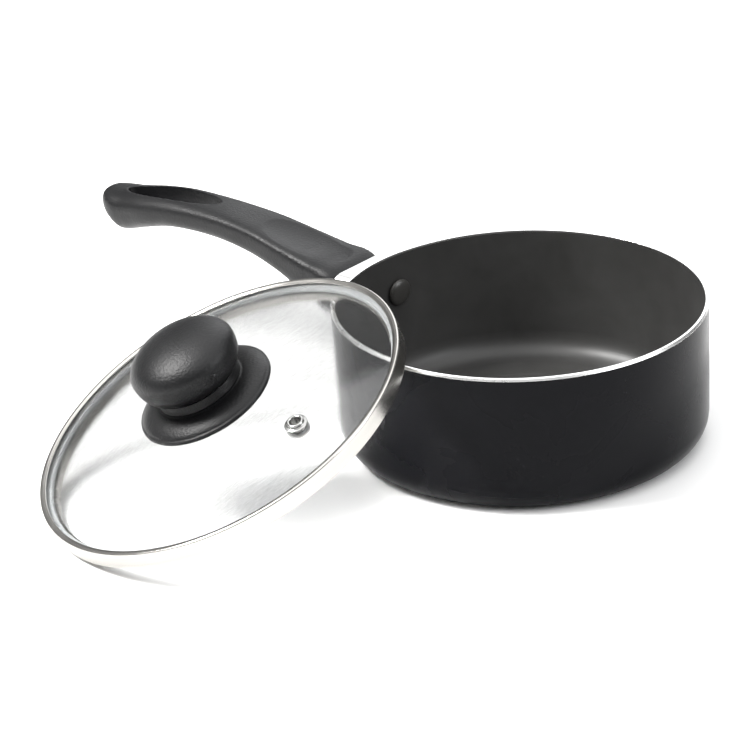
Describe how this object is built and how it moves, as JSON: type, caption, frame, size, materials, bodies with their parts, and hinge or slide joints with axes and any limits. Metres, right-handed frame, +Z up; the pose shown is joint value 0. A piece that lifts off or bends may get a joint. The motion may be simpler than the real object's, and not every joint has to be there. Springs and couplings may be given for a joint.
{
  "type": "saucepan with glass lid",
  "caption": "Small black saucepan with a long dark handle, and a domed glass lid with a round knob that leans on the pan's rim beside it.",
  "frame": {"origin": "centre of the flat face in the middle of the pan's underside, where the pan's axis meets it", "axes": "+X along the handle, away from the pan; +Z up along the pan's axis, from the underside to the rim; the lid leans on the rim on the +Y side"},
  "size_m": [0.3344, 0.2884, 0.0855],
  "materials": {
    "enamel": "black coated aluminium, glossy outside and matte non-stick inside",
    "phenolic": "fine-grained moulded phenolic resin",
    "bright_aluminium": "satin",
    "brushed_stainless": "brushed round its edge",
    "polished_steel": "plated and polished",
    "plated_steel": "zinc plated",
    "coated_rivet": "coated with the pan",
    "brass": "machined",
    "silicone": "translucent silicone",
    "tempered_glass": "clear, polished"
  },
  "bodies": {
    "pan": {"pan_body": "enamel", "rivet_left": "coated_rivet", "rivet_right": "coated_rivet", "handle_bracket": "plated_steel", "flame_guard": "bright_aluminium", "handle_grip": "phenolic", "handle_screw": "plated_steel", "handle_washer": "plated_steel"},
    "lid": {"lid_glass": "tempered_glass", "lid_ring": "brushed_stainless", "sealing_bead": "silicone", "vent_eyelet": "polished_steel", "vent_washer": "plated_steel", "knob_base": "phenolic", "knob_cap": "phenolic", "knob_insert": "brass", "knob_gasket_upper": "silicone", "knob_gasket_lower": "silicone", "knob_washer": "plated_steel", "knob_screw": "plated_steel"}
  },
  "joints": [
    {"name": "lid_lift", "type": "slide", "parent": "pan", "child": "lid", "axis": [0, 0, 1], "range_m": [0, 0.12]}
  ]
}
